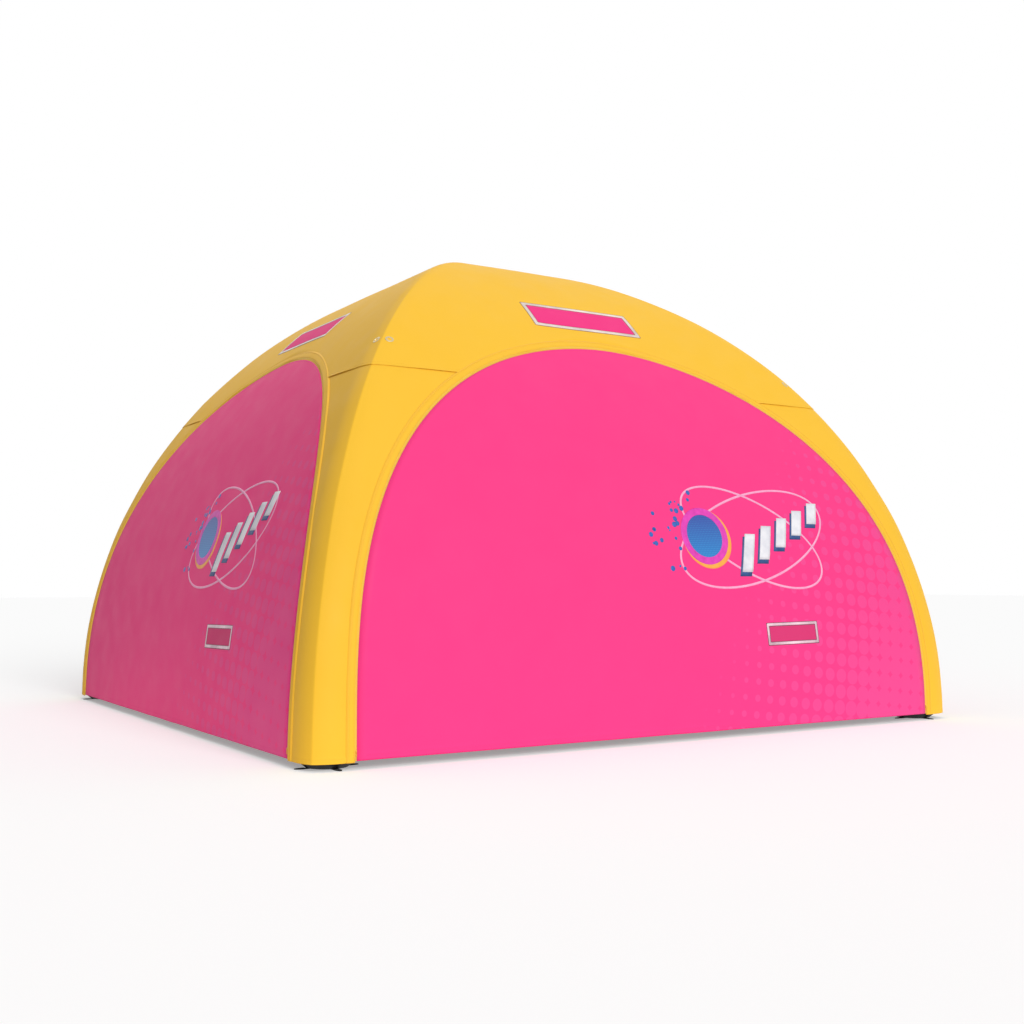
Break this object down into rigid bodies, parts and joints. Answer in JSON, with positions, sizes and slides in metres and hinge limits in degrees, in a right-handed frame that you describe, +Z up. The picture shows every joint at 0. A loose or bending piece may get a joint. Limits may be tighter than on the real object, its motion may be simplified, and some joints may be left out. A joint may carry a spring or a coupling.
{
  "type": "inflatable tent",
  "caption": "Square inflatable dome tent on air-beam legs, with arched walls that zip in and lift out",
  "frame": {"origin": "on the ground under the crown, in the middle of the four feet", "axes": "+Z up, and the front wall faces -Y"},
  "size_m": [4.0654, 4.0654, 2.8114],
  "materials": {
    "cover_fabric": "woven polyester, matt",
    "wall_fabric": "woven polyester, matt, printed",
    "zip_chain": "coil zip",
    "slider_metal": "enamelled",
    "bladder": "smooth film in a fabric sleeve",
    "foot_vinyl": "coated fabric, satin",
    "webbing": "woven tape",
    "eyelet_metal": "nickel plated",
    "valve_plastic": "moulded",
    "valve_cap": "moulded",
    "valve_button": "moulded"
  },
  "bodies": {
    "root": {"roof_canopy": "cover_fabric", "crown_hub": "bladder", "leg_cover_front_left": "cover_fabric", "leg_cover_front_right": "cover_fabric", "leg_cover_back_right": "cover_fabric", "leg_cover_back_left": "cover_fabric", "air_beam_front_left": "bladder", "air_beam_front_right": "bladder", "air_beam_back_right": "bladder", "air_beam_back_left": "bladder", "foot_cup_front_left": "foot_vinyl", "foot_cup_front_right": "foot_vinyl", "foot_cup_back_right": "foot_vinyl", "foot_cup_back_left": "foot_vinyl", "peg_webbing_front_left": "webbing", "peg_webbing_front_right": "webbing", "peg_webbing_back_right": "webbing", "peg_webbing_back_left": "webbing", "valve_body_front_left": "valve_plastic", "valve_body_front_right": "valve_plastic", "valve_body_back_right": "valve_plastic", "valve_body_back_left": "valve_plastic", "flap_band_front": "cover_fabric", "flap_band_right": "cover_fabric", "flap_band_back": "cover_fabric", "flap_band_left": "cover_fabric", "zip_front": "zip_chain", "zip_right": "zip_chain", "zip_back": "zip_chain", "zip_left": "zip_chain", "eyelet_front_left_a": "eyelet_metal", "eyelet_front_left_b": "eyelet_metal", "eyelet_front_right_a": "eyelet_metal", "eyelet_front_right_b": "eyelet_metal", "eyelet_back_right_a": "eyelet_metal", "eyelet_back_right_b": "eyelet_metal", "eyelet_back_left_a": "eyelet_metal", "eyelet_back_left_b": "eyelet_metal"},
    "wall_front": {"wall_front": "wall_fabric"},
    "wall_right": {"wall_right": "wall_fabric"},
    "wall_back": {"wall_back": "wall_fabric"},
    "wall_left": {"wall_left": "wall_fabric"},
    "zip_slider_front_left": {"zip_slider_front_left": "slider_metal"},
    "zip_slider_front_right": {"zip_slider_front_right": "slider_metal"},
    "zip_slider_right_left": {"zip_slider_right_left": "slider_metal"},
    "zip_slider_right_right": {"zip_slider_right_right": "slider_metal"},
    "zip_slider_back_left": {"zip_slider_back_left": "slider_metal"},
    "zip_slider_back_right": {"zip_slider_back_right": "slider_metal"},
    "zip_slider_left_left": {"zip_slider_left_left": "slider_metal"},
    "zip_slider_left_right": {"zip_slider_left_right": "slider_metal"},
    "valve_cap_front_left": {"valve_cap_front_left": "valve_cap"},
    "valve_poppet_front_left": {"valve_poppet_front_left": "valve_button"},
    "valve_cap_front_right": {"valve_cap_front_right": "valve_cap"},
    "valve_poppet_front_right": {"valve_poppet_front_right": "valve_button"},
    "valve_cap_back_right": {"valve_cap_back_right": "valve_cap"},
    "valve_poppet_back_right": {"valve_poppet_back_right": "valve_button"},
    "valve_cap_back_left": {"valve_cap_back_left": "valve_cap"},
    "valve_poppet_back_left": {"valve_poppet_back_left": "valve_button"}
  },
  "joints": [
    {"name": "wall_front_lift", "type": "hinge", "parent": "root", "child": "wall_front", "pos_m": [0, -1.32492, 2.0931], "axis": [-1, 0, 0], "range_deg": [0, 75]},
    {"name": "wall_right_lift", "type": "hinge", "parent": "root", "child": "wall_right", "pos_m": [1.32492, 0, 2.0931], "axis": [0, -1, 0], "range_deg": [0, 75]},
    {"name": "wall_back_lift", "type": "hinge", "parent": "root", "child": "wall_back", "pos_m": [0, 1.32492, 2.0931], "axis": [1, 0, 0], "range_deg": [0, 75]},
    {"name": "wall_left_lift", "type": "hinge", "parent": "root", "child": "wall_left", "pos_m": [-1.32492, 0, 2.0931], "axis": [0, 1, 0], "range_deg": [0, 75]},
    {"name": "zip_slider_front_left_run", "type": "hinge", "parent": "root", "child": "zip_slider_front_left", "pos_m": [-0.13842, -0.30467, 0.10364], "axis": [-0.718, 0.696, -0.0125], "range_deg": [0, 13.5]},
    {"name": "zip_slider_front_right_run", "type": "hinge", "parent": "root", "child": "zip_slider_front_right", "pos_m": [0.13842, -0.30467, 0.10364], "axis": [-0.718, -0.696, 0.0125], "range_deg": [0, 13.5]},
    {"name": "zip_slider_right_left_run", "type": "hinge", "parent": "root", "child": "zip_slider_right_left", "pos_m": [0.30467, -0.13842, 0.10364], "axis": [-0.696, -0.718, -0.0125], "range_deg": [0, 13.5]},
    {"name": "zip_slider_right_right_run", "type": "hinge", "parent": "root", "child": "zip_slider_right_right", "pos_m": [0.30467, 0.13842, 0.10364], "axis": [0.696, -0.718, 0.0125], "range_deg": [0, 13.5]},
    {"name": "zip_slider_back_left_run", "type": "hinge", "parent": "root", "child": "zip_slider_back_left", "pos_m": [0.13842, 0.30467, 0.10364], "axis": [0.718, -0.696, -0.0125], "range_deg": [0, 13.5]},
    {"name": "zip_slider_back_right_run", "type": "hinge", "parent": "root", "child": "zip_slider_back_right", "pos_m": [-0.13842, 0.30467, 0.10364], "axis": [0.718, 0.696, 0.0125], "range_deg": [0, 13.5]},
    {"name": "zip_slider_left_left_run", "type": "hinge", "parent": "root", "child": "zip_slider_left_left", "pos_m": [-0.30467, 0.13842, 0.10364], "axis": [0.696, 0.718, -0.0125], "range_deg": [0, 13.5]},
    {"name": "zip_slider_left_right_run", "type": "hinge", "parent": "root", "child": "zip_slider_left_right", "pos_m": [-0.30467, -0.13842, 0.10364], "axis": [-0.696, 0.718, 0.0125], "range_deg": [0, 13.5]},
    {"name": "valve_cap_front_left_turn", "type": "hinge", "parent": "root", "child": "valve_cap_front_left", "pos_m": [-1.69697, -1.69697, 0.67741], "axis": [0.678, 0.678, -0.2839], "range_deg": [0, 90]},
    {"name": "valve_poppet_front_left_press", "type": "slide", "parent": "root", "child": "valve_poppet_front_left", "axis": [-0.678, -0.678, 0.2839], "range_m": [0, 0.005], "stiffness_N_per_m": 600, "springref_m": -0.002},
    {"name": "valve_cap_front_right_turn", "type": "hinge", "parent": "root", "child": "valve_cap_front_right", "pos_m": [1.69697, -1.69697, 0.67741], "axis": [-0.678, 0.678, -0.2839], "range_deg": [0, 90]},
    {"name": "valve_poppet_front_right_press", "type": "slide", "parent": "root", "child": "valve_poppet_front_right", "axis": [0.678, -0.678, 0.2839], "range_m": [0, 0.005], "stiffness_N_per_m": 600, "springref_m": -0.002},
    {"name": "valve_cap_back_right_turn", "type": "hinge", "parent": "root", "child": "valve_cap_back_right", "pos_m": [1.69697, 1.69697, 0.67741], "axis": [-0.678, -0.678, -0.2839], "range_deg": [0, 90]},
    {"name": "valve_poppet_back_right_press", "type": "slide", "parent": "root", "child": "valve_poppet_back_right", "axis": [0.678, 0.678, 0.2839], "range_m": [0, 0.005], "stiffness_N_per_m": 600, "springref_m": -0.002},
    {"name": "valve_cap_back_left_turn", "type": "hinge", "parent": "root", "child": "valve_cap_back_left", "pos_m": [-1.69697, 1.69697, 0.67741], "axis": [0.678, -0.678, -0.2839], "range_deg": [0, 90]},
    {"name": "valve_poppet_back_left_press", "type": "slide", "parent": "root", "child": "valve_poppet_back_left", "axis": [-0.678, 0.678, 0.2839], "range_m": [0, 0.005], "stiffness_N_per_m": 600, "springref_m": -0.002}
  ]
}
